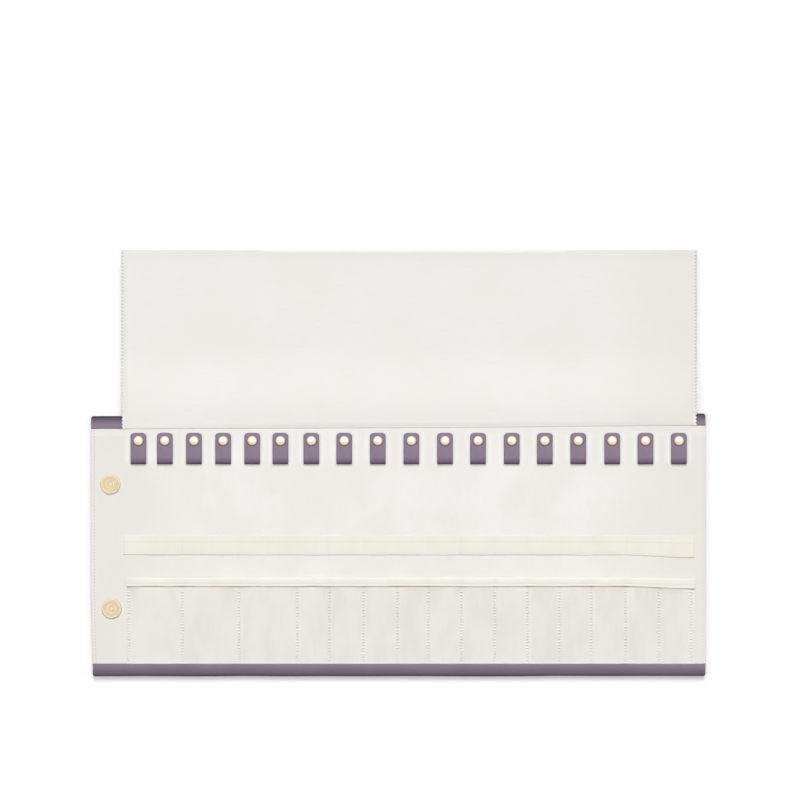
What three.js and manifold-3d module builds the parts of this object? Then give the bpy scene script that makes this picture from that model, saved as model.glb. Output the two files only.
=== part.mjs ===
// A jewelry roll, unrolled and lying flat, with its cloth flap laid out behind it.
// X runs along the roll, Y towards the flap and Z up, in millimetres. The origin is the
// middle of the footprint, on the surface that the roll lies on.
// Three folds divide the roll into four panels, numbered from the end with the magnet discs.

import * as THREE from "three";
import { mergeVertices } from "three/addons/utils/BufferGeometryUtils.js";
import Module from "manifold-3d";

const wasm = await Module();
wasm.setup();

// Outer shell of leatherette, its long edges turned in over the lining
const openLength = 590;
const openWidth = 250;
const shellThickness = 0.8;
const topHemWidth = 12.5;
const bottomHemWidth = 12;

// Padded lining, and the gaps between layers, panels and the lining's own edges
const liningThickness = 1.4;
const layerGap = 0.2;
const panelGap = 0.3;
const liningEdgeGap = 0.3;

// Straps: a strip of leather folded at its lower end and closed by a snap
const strapWidth = 15.3;
const strapReach = 30;
const strapThickness = 0.7;
const strapTopInset = 4.3;
const strapCornerRadius = 4.8;
const strapFoldRadius = 0.45;
const strapFoldClearance = 0.15;
const strapEndClearance = 0.3;
const strapPlaceShares = [
  0.077, 0.12, 0.168, 0.215, 0.262, 0.308, 0.358, 0.411, 0.466,
  0.521, 0.575, 0.629, 0.683, 0.737, 0.791, 0.846, 0.9, 0.954,
];

// Snaps: a domed cap riveted to the strap through a socket, and a stud under it
const capInset = 7.4;
const capRadius = 5;
const capHeight = 1.3;
const capRimHeight = 0.3;
const capSeatGap = 0.1;
const rivetRadius = 1.5;
const rivetClearance = 0.15;
const socketRadius = 3.2;
const socketThickness = 0.7;
const socketRoof = 0.2;
const studRadius = 1.6;
const studHeight = 0.65;
const studClearance = 0.25;
const bondDepth = 0.3;

// The folds, each at a share of the gap between the two straps beside it
const foldGapShares = [0.25, 0.25, 0.75];
const strapsBeforeFold = [5, 10, 14];

// Wide ribbed elastic, tacked to the lining between the straps
const elasticWidth = 19;
const elasticInset = 102.6;
const elasticThickness = 0.7;
const elasticBulge = 0.35;
const elasticLeftInset = 30.8;
const elasticRightInset = 11.5;

// Pockets of thin cloth, their top edge bound with a narrow elastic
const bindingInset = 143.5;
const bindingWidth = 8.4;
const bindingThickness = 0.8;
const pocketThickness = 0.4;
const pocketBulge = 0.5;
const pocketHemGap = 0.3;
const pocketLeftInset = 34.9;

// Cloth flap, stitched along the inner edge of the top hem
const flapLength = 170;
const flapThickness = 0.5;
const flapLeftInset = 29.4;
const flapRightInset = 10;
const flapHemClearance = 0.2;

// Magnet discs on the first panel, and the magnets that meet them inside the third
const discRadius = 9.5;
const discThickness = 1.6;
const discRimWidth = 1.2;
const discGrooveDepth = 0.35;
const discBossRadius = 3.4;
const discEndInset = 19;
const discInsets = [53.5, 173];
const hiddenMagnetRadius = 6.5;
const hiddenMagnetThickness = 0.9;
const hiddenMagnetClearance = 0.25;

// Counts of straight pieces in the round forms
const capSides = 12;
const capSteps = 3;
const studSides = 10;
const discSides = 24;
const cornerSteps = 2;
const foldSteps = 3;
const hemSteps = 3;
const quiltSteps = 4;

// Heights of the layers, from the surface up
const liningUnderside = shellThickness + layerGap;
const liningTop = liningUnderside + liningThickness;
const hemUnderside = liningTop + layerGap;
const hemTop = hemUnderside + shellThickness;
const strapBackTop = liningTop + strapThickness;
const strapFoldOuterRadius = strapFoldRadius + strapThickness;
const strapAxisHeight = liningTop + strapFoldClearance + strapFoldOuterRadius;

const flapUnderside = hemTop + flapHemClearance;

// Places along Y
const overallDepth = openWidth - topHemWidth + flapLength;
const shellBottom = -overallDepth / 2;
const shellTop = shellBottom + openWidth;
const hemInnerTop = shellTop - topHemWidth;
const hemInnerBottom = shellBottom + bottomHemWidth;
const strapTop = hemInnerTop - strapTopInset;
const capPlace = strapTop - capInset;
const strapAxisPlace = strapTop - strapReach + strapFoldOuterRadius;
const hemRadius = hemTop / 2;

// Places along X
const leftEnd = -openLength / 2;
const rightEnd = openLength / 2;
const strapPlaces = strapPlaceShares.map((share) => leftEnd + share * openLength);
const foldPlaces = strapsBeforeFold.map((count, fold) => {
  const gapStart = strapPlaces[count - 1] + strapWidth / 2;
  const gapEnd = strapPlaces[count] - strapWidth / 2;
  return gapStart + foldGapShares[fold] * (gapEnd - gapStart);
});
const stitchPlaces = strapPlaces.slice(1, -1).map((place, index) => (place + strapPlaces[index + 2]) / 2);
const panelBounds = [leftEnd, ...foldPlaces, rightEnd];
const panels = foldPlaces.concat(rightEnd).map((bound, index) => ({
  number: index + 1,
  left: panelBounds[index] + (index > 0 ? panelGap / 2 : 0),
  right: bound - (bound < rightEnd ? panelGap / 2 : 0),
}));

const shellFinish = { color: 0x867688, roughness: 0.55, metalness: 0 };
const liningFinish = { color: 0xeeebe6, roughness: 0.95, metalness: 0 };
const elasticFinish = { color: 0xf2eee3, roughness: 0.85, metalness: 0 };
const pocketFinish = { color: 0xe9e6e0, roughness: 0.9, metalness: 0 };
const flapFinish = { color: 0xeeede8, roughness: 0.9, metalness: 0 };
const strapFinish = { color: 0x928193, roughness: 0.5, metalness: 0 };
const capFinish = { color: 0xf3ead8, roughness: 0.25, metalness: 1 };
const discFinish = { color: 0xecd7b3, roughness: 0.35, metalness: 1 };
const magnetFinish = { color: 0x9a9a9c, roughness: 0.4, metalness: 1 };

const jewelryRoll = new THREE.Group();

function addPiece(parent, name, geometry, finish) {
  const mesh = new THREE.Mesh(geometry, new THREE.MeshStandardMaterial(finish));
  mesh.name = name;
  parent.add(mesh);
  return mesh;
}

// A straight body on an outline drawn in X and Y, from one height to another.
function standing(shape, bottom, top) {
  const geometry = new THREE.ExtrudeGeometry(shape, { depth: top - bottom, bevelEnabled: false });
  return geometry.translate(0, 0, bottom);
}

// A straight body along X on an outline drawn in Y and Z.
function alongLength(shape, left, right) {
  const geometry = new THREE.ExtrudeGeometry(shape, { depth: right - left, bevelEnabled: false });
  const turn = new THREE.Matrix4().makeBasis(
    new THREE.Vector3(0, 1, 0),
    new THREE.Vector3(0, 0, 1),
    new THREE.Vector3(1, 0, 0),
  );
  return geometry.applyMatrix4(turn).translate(left, 0, 0);
}

// A straight body along Y on an outline drawn in X and Z.
function acrossWidth(shape, front, back) {
  const geometry = new THREE.ExtrudeGeometry(shape, { depth: back - front, bevelEnabled: false });
  return geometry.rotateX(Math.PI / 2).translate(0, back, 0);
}

// A turned body on a profile of radius and height pairs.
function turned(profile, sides) {
  const points = profile.map(([radius, height]) => new THREE.Vector2(radius, height));
  return new THREE.LatheGeometry(points, sides).rotateX(Math.PI / 2);
}

function block(left, right, front, back, bottom, top) {
  const geometry = new THREE.BoxGeometry(right - left, back - front, top - bottom);
  return geometry.translate((left + right) / 2, (front + back) / 2, (bottom + top) / 2);
}

function solidOf(geometry) {
  const bare = geometry.clone();
  bare.deleteAttribute("normal");
  bare.deleteAttribute("uv");
  const merged = mergeVertices(bare);
  const mesh = new wasm.Mesh({
    numProp: 3,
    vertProperties: new Float32Array(merged.attributes.position.array),
    triVerts: new Uint32Array(merged.index.array),
  });
  return new wasm.Manifold(mesh);
}

function geometryOf(solid) {
  const mesh = solid.getMesh();
  const geometry = new THREE.BufferGeometry();
  geometry.setAttribute("position", new THREE.BufferAttribute(new Float32Array(mesh.vertProperties), 3));
  geometry.setIndex(new THREE.BufferAttribute(new Uint32Array(mesh.triVerts), 1));
  geometry.computeVertexNormals();
  return geometry;
}

// The shell's section: the outer skin with both long edges rolled over the lining.
function shellSection() {
  const section = new THREE.Path();
  const innerRadius = hemRadius - shellThickness;
  const bottomCentre = shellBottom + hemRadius;
  const topCentre = shellTop - hemRadius;
  section.moveTo(topCentre, 0);
  section.absarc(topCentre, hemRadius, hemRadius, -Math.PI / 2, Math.PI / 2, false);
  section.lineTo(hemInnerTop, hemTop);
  section.lineTo(hemInnerTop, hemUnderside);
  section.absarc(topCentre, hemRadius, innerRadius, Math.PI / 2, -Math.PI / 2, true);
  section.lineTo(bottomCentre, shellThickness);
  section.absarc(bottomCentre, hemRadius, innerRadius, -Math.PI / 2, Math.PI / 2, true);
  section.lineTo(hemInnerBottom, hemUnderside);
  section.lineTo(hemInnerBottom, hemTop);
  section.absarc(bottomCentre, hemRadius, hemRadius, Math.PI / 2, -Math.PI / 2, false);
  return new THREE.Shape(section.getPoints(hemSteps));
}

for (const panel of panels) {
  addPiece(
    jewelryRoll,
    `outer_shell_${panel.number}`,
    alongLength(shellSection(), panel.left, panel.right),
    shellFinish,
  );
}

// A strap seen from above, square at its lower end and rounded at its upper corners.
function strapPlan(lower, upper, halfWidth) {
  const plan = new THREE.Path();
  plan.moveTo(-halfWidth, lower);
  plan.lineTo(halfWidth, lower);
  plan.absarc(halfWidth - strapCornerRadius, upper - strapCornerRadius, strapCornerRadius, 0, Math.PI / 2, false);
  plan.absarc(
    strapCornerRadius - halfWidth, upper - strapCornerRadius, strapCornerRadius, Math.PI / 2, Math.PI, false,
  );
  return new THREE.Shape(plan.getPoints(cornerSteps));
}

// Hidden magnets lie where the discs of the first panel come down when the roll is closed.
const hiddenMagnetPlace = foldPlaces[1] + (foldPlaces[1] - foldPlaces[0]) - (foldPlaces[0] - leftEnd - discEndInset);
const discPlaces = discInsets.map((inset) => hemInnerTop - inset);

// The rear half of each strap and its stud are sewn to the lining, so they are part of it here.
function paddedLining(panel) {
  const left = panel.left + (panel.left === leftEnd ? liningEdgeGap : 0);
  const right = panel.right - (panel.right === rightEnd ? liningEdgeGap : 0);
  const edge = shellThickness + 2 * liningEdgeGap;
  let lining = solidOf(block(left, right, shellBottom + edge, shellTop - edge, liningUnderside, liningTop));
  const backStart = strapAxisPlace + strapFoldOuterRadius + strapEndClearance;
  const back = strapPlan(backStart, strapTop, strapWidth / 2);
  const stud = [
    [0, liningTop],
    [studRadius, liningTop],
    [studRadius, strapBackTop + studHeight],
    [0, strapBackTop + studHeight],
  ];
  for (const place of strapPlaces.filter((x) => x > panel.left && x < panel.right)) {
    lining = lining.add(solidOf(standing(back, liningTop - bondDepth, strapBackTop).translate(place, 0, 0)));
    lining = lining.add(solidOf(turned(stud, studSides).translate(place, capPlace, 0)));
  }
  if (hiddenMagnetPlace > panel.left && hiddenMagnetPlace < panel.right) {
    const recessRadius = hiddenMagnetRadius + hiddenMagnetClearance;
    const recessTop = liningUnderside + hiddenMagnetThickness + hiddenMagnetClearance;
    const recess = [
      [0, 0],
      [recessRadius, 0],
      [recessRadius, recessTop],
      [0, recessTop],
    ];
    for (const place of discPlaces) {
      lining = lining.subtract(solidOf(turned(recess, discSides).translate(hiddenMagnetPlace, place, 0)));
    }
  }
  return geometryOf(lining);
}

for (const panel of panels) {
  addPiece(jewelryRoll, `padded_lining_${panel.number}`, paddedLining(panel), liningFinish);
}

// How far a cloth stands up between its lines of stitching, from 0 to 1.
function puff(x, stitches) {
  const next = stitches.findIndex((stitch) => stitch > x);
  if (next < 1) return 0;
  const share = (x - stitches[next - 1]) / (stitches[next] - stitches[next - 1]);
  return Math.sin(Math.PI * share);
}

// The section of a cloth that is stitched down at intervals, between two places along X.
function quiltedSection(left, right, stitches, thickness, bulge) {
  const places = [left, right];
  stitches.slice(1).forEach((stitch, index) => {
    for (let step = 0; step <= quiltSteps; step += 1) {
      const place = stitches[index] + (step / quiltSteps) * (stitch - stitches[index]);
      if (place > left + panelGap && place < right - panelGap) places.push(place);
    }
  });
  const sorted = [...new Set(places)].sort((a, b) => a - b);
  const lower = sorted.map((x) => new THREE.Vector2(x, hemUnderside + bulge * puff(x, stitches)));
  const upper = lower.map((point) => new THREE.Vector2(point.x, point.y + thickness)).reverse();
  return new THREE.Shape([...lower, ...upper]);
}

const elasticTop = hemInnerTop - elasticInset;
const elasticLeft = leftEnd + elasticLeftInset;
const elasticRight = rightEnd - elasticRightInset;
const elasticStitches = [elasticLeft, ...stitchPlaces, elasticRight];
for (const panel of panels) {
  const left = Math.max(panel.left, elasticLeft);
  const right = Math.min(panel.right, elasticRight);
  const section = quiltedSection(left, right, elasticStitches, elasticThickness, elasticBulge);
  addPiece(
    jewelryRoll,
    `wide_elastic_${panel.number}`,
    acrossWidth(section, elasticTop - elasticWidth, elasticTop),
    elasticFinish,
  );
}

const pocketTop = hemInnerTop - bindingInset;
const pocketBottom = hemInnerBottom + pocketHemGap;
const pocketLeft = leftEnd + pocketLeftInset;
const pocketStitches = [pocketLeft, ...stitchPlaces, elasticRight];
for (const panel of panels) {
  const left = Math.max(panel.left, pocketLeft);
  const right = Math.min(panel.right, elasticRight);
  const cloth = quiltedSection(left, right, pocketStitches, pocketThickness, pocketBulge);
  const binding = quiltedSection(left, right, pocketStitches, bindingThickness, pocketBulge);
  const sheet = solidOf(acrossWidth(cloth, pocketBottom, pocketTop - bondDepth));
  const edging = solidOf(acrossWidth(binding, pocketTop - bindingWidth, pocketTop));
  addPiece(jewelryRoll, `pocket_${panel.number}`, geometryOf(sheet.add(edging)), pocketFinish);
}

// The flap is one cloth, laid out level over the hem and divided where the roll folds.
for (const panel of panels) {
  const left = Math.max(panel.left, leftEnd + flapLeftInset);
  const right = Math.min(panel.right, rightEnd - flapRightInset);
  const far = hemInnerTop + flapLength;
  const sheet = block(left, right, hemInnerTop, far, flapUnderside, flapUnderside + flapThickness);
  addPiece(jewelryRoll, `flap_${panel.number}`, sheet, flapFinish);
}

// The front half of a strap, with the round fold at its lower end, about the fold's axis.
function strapTab() {
  const tip = strapTop - strapAxisPlace;
  const side = new THREE.Path();
  side.moveTo(0, strapFoldRadius);
  side.lineTo(tip, strapFoldRadius);
  side.lineTo(tip, strapFoldOuterRadius);
  side.absarc(0, 0, strapFoldOuterRadius, Math.PI / 2, (3 * Math.PI) / 2, false);
  side.absarc(0, 0, strapFoldRadius, (3 * Math.PI) / 2, Math.PI / 2, true);
  const folded = solidOf(
    alongLength(new THREE.Shape(side.getPoints(foldSteps)), -strapWidth / 2, strapWidth / 2),
  );
  const plan = strapPlan(-2 * strapFoldOuterRadius, tip, strapWidth / 2);
  const outline = solidOf(standing(plan, -2 * strapFoldOuterRadius, 2 * strapFoldOuterRadius));
  const holeRadius = rivetRadius + rivetClearance;
  const hole = [
    [0, 0],
    [holeRadius, 0],
    [holeRadius, 2 * strapFoldOuterRadius],
    [0, 2 * strapFoldOuterRadius],
  ];
  const bore = solidOf(turned(hole, studSides).translate(0, capPlace - strapAxisPlace, 0));
  return geometryOf(folded.intersect(outline).subtract(bore));
}

// The cap, its rivet and the socket that grips the stud, from the fold's height up.
function snapCapProfile() {
  const rim = strapFoldOuterRadius + capSeatGap;
  const socketTop = strapFoldRadius - capSeatGap;
  const socketBottom = socketTop - socketThickness;
  const domeHeight = capHeight - capRimHeight;
  const profile = [
    [0, socketTop - socketRoof],
    [studRadius + studClearance, socketTop - socketRoof],
    [studRadius + studClearance, socketBottom],
    [socketRadius, socketBottom],
    [socketRadius, socketTop],
    [rivetRadius, socketTop],
    [rivetRadius, rim],
    [capRadius, rim],
  ];
  for (let step = 0; step <= capSteps; step += 1) {
    const angle = (step / capSteps) * (Math.PI / 2);
    profile.push([capRadius * Math.cos(angle), rim + capRimHeight + domeHeight * Math.sin(angle)]);
  }
  profile[profile.length - 1][0] = 0;
  return profile;
}

strapPlaces.forEach((place, index) => {
  const number = String(index + 1).padStart(2, "0");
  const strap = new THREE.Group();
  strap.position.set(place, strapAxisPlace, strapAxisHeight);
  addPiece(strap, `strap_${number}`, strapTab(), strapFinish);
  const cap = addPiece(strap, `snap_cap_${number}`, turned(snapCapProfile(), capSides), capFinish);
  cap.position.y = capPlace - strapAxisPlace;
  jewelryRoll.add(strap);
});

// A coin-like disc: a raised rim, a plain sunk ring and a low boss.
const discUnderside = liningTop + layerGap;
const discProfile = [
  [0, 0],
  [discRadius, 0],
  [discRadius, discThickness - discGrooveDepth],
  [discRadius - discGrooveDepth, discThickness],
  [discRadius - discRimWidth, discThickness],
  [discRadius - discRimWidth - discGrooveDepth, discThickness - discGrooveDepth],
  [discBossRadius + discGrooveDepth, discThickness - discGrooveDepth],
  [discBossRadius, discThickness],
  [0, discThickness],
];
const magnetProfile = [
  [0, 0],
  [hiddenMagnetRadius, 0],
  [hiddenMagnetRadius, hiddenMagnetThickness],
  [0, hiddenMagnetThickness],
];
const discNames = ["upper", "lower"];
discPlaces.forEach((place, index) => {
  const disc = addPiece(jewelryRoll, `magnet_disc_${discNames[index]}`, turned(discProfile, discSides), discFinish);
  disc.position.set(leftEnd + discEndInset, place, discUnderside);
  const magnet = addPiece(
    jewelryRoll,
    `hidden_magnet_${discNames[index]}`,
    turned(magnetProfile, discSides),
    magnetFinish,
  );
  magnet.position.set(hiddenMagnetPlace, place, liningUnderside);
});

export default jewelryRoll;
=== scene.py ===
import math

import bpy
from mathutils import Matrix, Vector, noise


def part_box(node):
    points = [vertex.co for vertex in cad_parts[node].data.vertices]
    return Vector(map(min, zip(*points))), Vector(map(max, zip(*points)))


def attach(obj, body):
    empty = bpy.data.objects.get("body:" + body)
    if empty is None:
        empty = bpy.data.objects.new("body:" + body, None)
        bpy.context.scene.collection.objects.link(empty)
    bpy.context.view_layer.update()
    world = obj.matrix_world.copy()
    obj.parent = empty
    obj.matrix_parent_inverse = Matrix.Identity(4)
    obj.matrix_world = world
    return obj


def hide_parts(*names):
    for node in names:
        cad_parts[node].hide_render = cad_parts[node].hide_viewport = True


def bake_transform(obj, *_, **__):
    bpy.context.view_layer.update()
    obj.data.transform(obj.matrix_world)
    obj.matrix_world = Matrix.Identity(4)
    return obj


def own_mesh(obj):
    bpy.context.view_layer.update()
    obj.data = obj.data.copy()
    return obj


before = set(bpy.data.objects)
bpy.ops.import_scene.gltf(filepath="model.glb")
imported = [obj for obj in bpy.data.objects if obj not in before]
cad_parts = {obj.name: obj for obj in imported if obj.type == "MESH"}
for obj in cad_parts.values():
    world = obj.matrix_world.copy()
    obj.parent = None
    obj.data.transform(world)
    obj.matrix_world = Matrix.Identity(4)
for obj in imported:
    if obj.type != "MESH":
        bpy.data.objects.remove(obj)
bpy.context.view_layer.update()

# The camera: a long lens straight above the open roll, which lies flat on a white table with its
# top flap turned up. The lens is long because the photograph shows no side of any piece.
mm = 0.001
view_centre = Vector((1.15 * mm, 60.8 * mm, 0))
view_width = 766 * mm
camera_height = 3.4
camera_reach = 20
camera = bpy.data.objects.new("camera", bpy.data.cameras.new("camera"))
camera.location = view_centre + Vector((0, 0, camera_height))
camera.data.lens = camera.data.sensor_width * camera_height / view_width
camera.data.clip_end = camera_reach
bpy.context.collection.objects.link(camera)
bpy.context.scene.camera = camera
bpy.context.scene.view_settings.view_transform = "Standard"


class Field:
    """A number, colour or vector that changes over a surface. Sums and products add Math nodes."""

    def __init__(self, finish, socket):
        self.finish = finish
        self.socket = socket

    def maths(self, operation, *values):
        return self.finish.node("Math", {"operation": operation}, dict(enumerate(values)))

    def __add__(self, other):
        return self.maths("ADD", self, other)

    def __sub__(self, other):
        return self.maths("SUBTRACT", self, other)

    def __mul__(self, other):
        return self.maths("MULTIPLY", self, other)

    def __truediv__(self, other):
        return self.maths("DIVIDE", self, other)

    def __rsub__(self, other):
        return self.maths("SUBTRACT", other, self)

    def __rtruediv__(self, other):
        return self.maths("DIVIDE", other, self)

    __radd__ = __add__
    __rmul__ = __mul__

    def size(self):
        return self.maths("ABSOLUTE", self)

    def root(self):
        return self.maths("SQRT", self)

    def share(self, low, high):
        """0 below low, 1 above high, and an even slope between."""
        settings = {"interpolation_type": "SMOOTHSTEP"}
        return self.finish.node("MapRange", settings, {0: self, 1: low, 2: high})

    def wave(self):
        return self.maths("SINE", self)

    def swing(self, pitch):
        """A wave from -1 to 1 that comes round once in every pitch."""
        return (self * (math.tau / pitch)).wave()

    def ribs(self, pitch):
        """The same wave as ribs, from 0 to 1."""
        return self.swing(pitch) * 0.5 + 0.5


class Finish:
    """A material whose nodes are added by node(); what reaches the output is its last shader."""

    def __init__(self, name, tree=None):
        self.material = bpy.data.materials.new(name) if tree is None else None
        if tree is None:
            self.material.use_nodes = True
            tree = self.material.node_tree
        self.tree = tree
        self.tree.nodes.clear()

    def node(self, kind, settings=None, inputs=None, output=0):
        """Adds a node, its settings first, then the values or links of its sockets."""
        made = self.tree.nodes.new("ShaderNode" + kind)
        for name, value in (settings or {}).items():
            setattr(made, name, value)
        for name, value in (inputs or {}).items():
            if isinstance(value, Field):
                self.tree.links.new(value.socket, made.inputs[name])
            else:
                made.inputs[name].default_value = value
        return Field(self, made.outputs[output])

    def place(self):
        """Where the point lies on the piece before anything is folded: x, y, z and all three."""
        at = self.node("Attribute", {"attribute_name": "place"}, output=1)
        return [self.node("SeparateXYZ", {}, {0: at}, k) for k in range(3)] + [at]

    def grain(self, at, scale, detail, stretch=(1, 1, 1)):
        """Soft noise from 0 to 1, with features of about 1 / scale metres."""
        drawn = self.node("VectorMath", {"operation": "MULTIPLY"}, {0: at, 1: stretch})
        return self.node("TexNoise", {}, {"Vector": drawn, "Scale": scale, "Detail": detail})

    def pebbles(self, at, scale):
        """The round grain of leather, with about scale pebbles in a metre."""
        return self.node("TexVoronoi", {"feature": "SMOOTH_F1"}, {"Vector": at, "Scale": scale})

    def coats(self, base, *layers):
        """The base colour under coats of (share, colour), each laid over the ones before it."""
        for share, colour in layers:
            base = self.node("Mix", {"data_type": "RGBA"}, {0: share, 6: base, 7: colour}, 2)
        return base

    def raised(self, height, distance):
        """The normal of a surface whose relief is height, from 0 to 1, times distance."""
        return self.node("Bump", {}, {"Height": height, "Distance": distance})

    def principled(self, **inputs):
        named = {name.replace("_", " "): value for name, value in inputs.items()}
        return self.done(self.node("BsdfPrincipled", {}, named))

    def done(self, shader, output="OutputMaterial"):
        end = self.tree.nodes.new("ShaderNode" + output)
        self.tree.links.new(shader.socket, end.inputs[0])
        return self.material

    def looked_at(self):
        """1 for the rays of the camera, a mirror or a clear piece, and 0 for the light itself."""
        camera_ray, glossy_ray, clear_ray = (
            self.node("LightPath", {}, {}, output) for output in (0, 3, 6))
        return (camera_ray + glossy_ray + clear_ray).share(0, 1)


def shade(red, green, blue):
    """The colour that a screen shows as these three numbers from 0 to 255."""
    def linear(level):
        level = level / 255
        return level / 12.92 if level <= 0.04045 else ((level + 0.055) / 1.055) ** 2.4
    return (linear(red), linear(green), linear(blue), 1)


# The table and the light: a white sheet that keeps the roll's soft shadow, a soft window beyond the
# top edge, weak ones at both sides, a broad one overhead, and one small lamp that the metal catches.
table_size = 6.0
table_drop = 1.7 * mm
bpy.ops.mesh.primitive_plane_add(size=table_size, location=(0, 0, -table_drop))
table = bpy.context.object
table.name = "table"
white = (1, 1, 1, 1)
card_albedo = 0.93
card_glow = 0.085
white_card = Finish("white_card")
matte = white_card.node("BsdfDiffuse", {}, {"Color": (card_albedo, card_albedo, card_albedo, 1)})
level = white_card.looked_at() * card_glow
glow = white_card.node("Emission", {}, {"Color": white, "Strength": level})
lit_card = white_card.node("AddShader", {}, {0: matte, 1: glow})
table.data.materials.append(white_card.done(lit_card))

room_light = 0.17
room = bpy.data.worlds.new("room")
room.use_nodes = True
bpy.context.scene.world = room
air = Finish("room", room.node_tree)
level = air.looked_at() * (1 - room_light) + room_light
air.done(air.node("Background", {}, {"Color": white, "Strength": level}), "OutputWorld")


def window(name, at, spread, light, glare=False):
    """A soft lamp in the direction at, that gives this share of the light on a level sheet."""
    lamp = bpy.data.lights.new(name, "SUN")
    lamp.angle = math.radians(spread)
    lamp.energy = math.pi * light * Vector(at).length / at[2]
    stand = bpy.data.objects.new(name, lamp)
    stand.location = at
    stand.rotation_euler = (-Vector(at)).to_track_quat("-Z", "Y").to_euler()
    stand.visible_glossy = glare
    bpy.context.collection.objects.link(stand)


window("window_beyond", at=(0.03, 1.0, 0.86), spread=28, light=0.43)
window("window_overhead", at=(0, 0.1, 1.0), spread=80, light=0.15)
window("window_left", at=(-1.0, 0, 0.9), spread=26, light=0.12)
window("window_right", at=(1.0, 0, 0.9), spread=26, light=0.09)
window("small_lamp", at=(0.06, 0.30, 1.0), spread=16, light=0.04, glare=True)


# The outer shell: one piece of mauve leatherette under the whole roll, wrapped round both long
# edges and turned in over the lining as a padded hem. It is cut here into three lengths, each
# with one fold in it, that meet between two straps in the second and the third panel.
left_trim, right_trim = 0.6 * mm, 1.6 * mm
half_gap = 0.15 * mm
shell_low, shell_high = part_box("outer_shell_1")
bottom, top = shell_low.y, shell_high.y
left, right = shell_low.x + left_trim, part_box("outer_shell_4")[1].x - right_trim
hem_height = shell_high.z
folds = [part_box(f"outer_shell_{k}")[0].x - half_gap for k in (2, 3, 4)]
strap_boxes = [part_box(f"strap_{k:02d}") for k in range(1, 19)]
strap_drift = [0.5, 0.4, -0.05, 0.15, 0.2, 0.05, 0.15, 0.3, -0.05, -0.35, -0.05, -0.3, 0.05, -0.15,
               -0.05, -0.05, -0.05, 0.1]
strap_xs = [(box[0].x + box[1].x) / 2 + off * mm for box, off in zip(strap_boxes, strap_drift)]
dividers = [(a + b) / 2 for a, b in zip(strap_xs[1:], strap_xs[2:])]
joins = [dividers[6], dividers[10]]
fold_turn = 5 * mm
lengths = [
    ("left", left, joins[0], ("panel_1", "panel_2"), folds[0]),
    ("middle", joins[0], joins[1], ("panel_2", "panel_3"), folds[1]),
    ("right", joins[1], right, ("panel_3", "panel_4"), folds[2]),
]
panels_of = {"left": (1, 2), "middle": (3,), "right": (4,)}


def stations(start, end, step, extra=()):
    """Places along X from start to end, step apart, closer together at the folds."""
    turn_steps, least_step, hair = 12, 0.12 * mm, 1e-9
    count = max(1, round((end - start) / step))
    places = [start + (end - start) * k / count for k in range(count + 1)]
    for fold in folds:
        places += [fold + fold_turn * (k / turn_steps - 1) for k in range(2 * turn_steps + 1)]
    places = sorted(p for p in places + list(extra) if start - hair <= p <= end + hair)
    kept = [places[0]]
    for place in places[1:]:
        if place - kept[-1] > least_step:
            kept.append(place)
    kept[-1] = end
    return kept


def ribbon(path, thickness, tips=(0.5, 0.5)):
    """The ring of points round a path of (y, z) points: a strip of that thickness."""
    above, below = [], []
    for k, (y, z) in enumerate(path):
        before, after = path[max(k - 1, 0)], path[min(k + 1, len(path) - 1)]
        run, rise = after[0] - before[0], after[1] - before[1]
        length = math.hypot(run, rise)
        side = (-rise / length * thickness / 2, run / length * thickness / 2)
        above.append((y + side[0], z + side[1]))
        below.append((y - side[0], z - side[1]))

    def rounded(end, inner, tip):
        run, rise = end[0] - inner[0], end[1] - inner[1]
        out = tip * thickness / math.hypot(run, rise)
        return (end[0] + run * out, end[1] + rise * out)
    first = rounded(path[0], path[1], tips[0])
    last = rounded(path[-1], path[-2], tips[1])
    return below + [last] + above[::-1] + [first]


def mesh_piece(name, points, faces, finish, places=None, sharp=50):
    """A mesh object whose points keep where they lay before any fold, for its finish."""
    mesh = bpy.data.meshes.new(name)
    mesh.from_pydata(points, [], faces)
    mesh.polygons.foreach_set("use_smooth", [True] * len(mesh.polygons))
    mesh.set_sharp_from_angle(angle=math.radians(sharp))
    mesh.attributes.new("place", "FLOAT_VECTOR", "POINT")
    mesh.materials.append(finish)
    piece = bpy.data.objects.new(name, mesh)
    bpy.context.collection.objects.link(piece)
    return laid_at(piece, places or points)


def laid_at(piece, places):
    """Keeps for each point the place that the finish reads."""
    kept = piece.data.attributes["place"]
    kept.data.foreach_set("vector", [c for place in places for c in place])
    return piece


def swept(name, xs, section, finish, sharp=50):
    """A closed body along X: section(x) is its ring of (y, z) points, alike in number."""
    points, faces = [], []
    for x in xs:
        ring = section(x)
        points += [(x, y, z) for y, z in ring]
    n = len(ring)
    for k in range(len(xs) - 1):
        for i in range(n):
            j = (i + 1) % n
            faces.append((k * n + i, k * n + j, (k + 1) * n + j, (k + 1) * n + i))
    middle = n // 2 - 1
    for base, turn in ((0, -1), ((len(xs) - 1) * n, 1)):
        strip = [(i, i + 1, 2 * middle - i - 1, 2 * middle - i) for i in range(middle - 1)]
        strip += [(middle - 1, middle, middle + 1), (0, 2 * middle, 2 * middle + 1)[::-1]]
        faces += [tuple(base + i for i in face)[::turn] for face in strip]
    return mesh_piece(name, points, faces, finish, sharp=sharp)


def soft(x, y, size, seed):
    """An even wander between -1 and 1 whose swells are about size across."""
    return noise.noise(Vector((x / size, y / size, seed)))


def wander(x, row, size, seed, reach):
    """How far an edge strays at x: up to reach, in swells of about size."""
    return soft(x, row, size, seed) * reach


def eased(share):
    share = min(max(share, 0), 1)
    return share * share * (3 - 2 * share)


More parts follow.
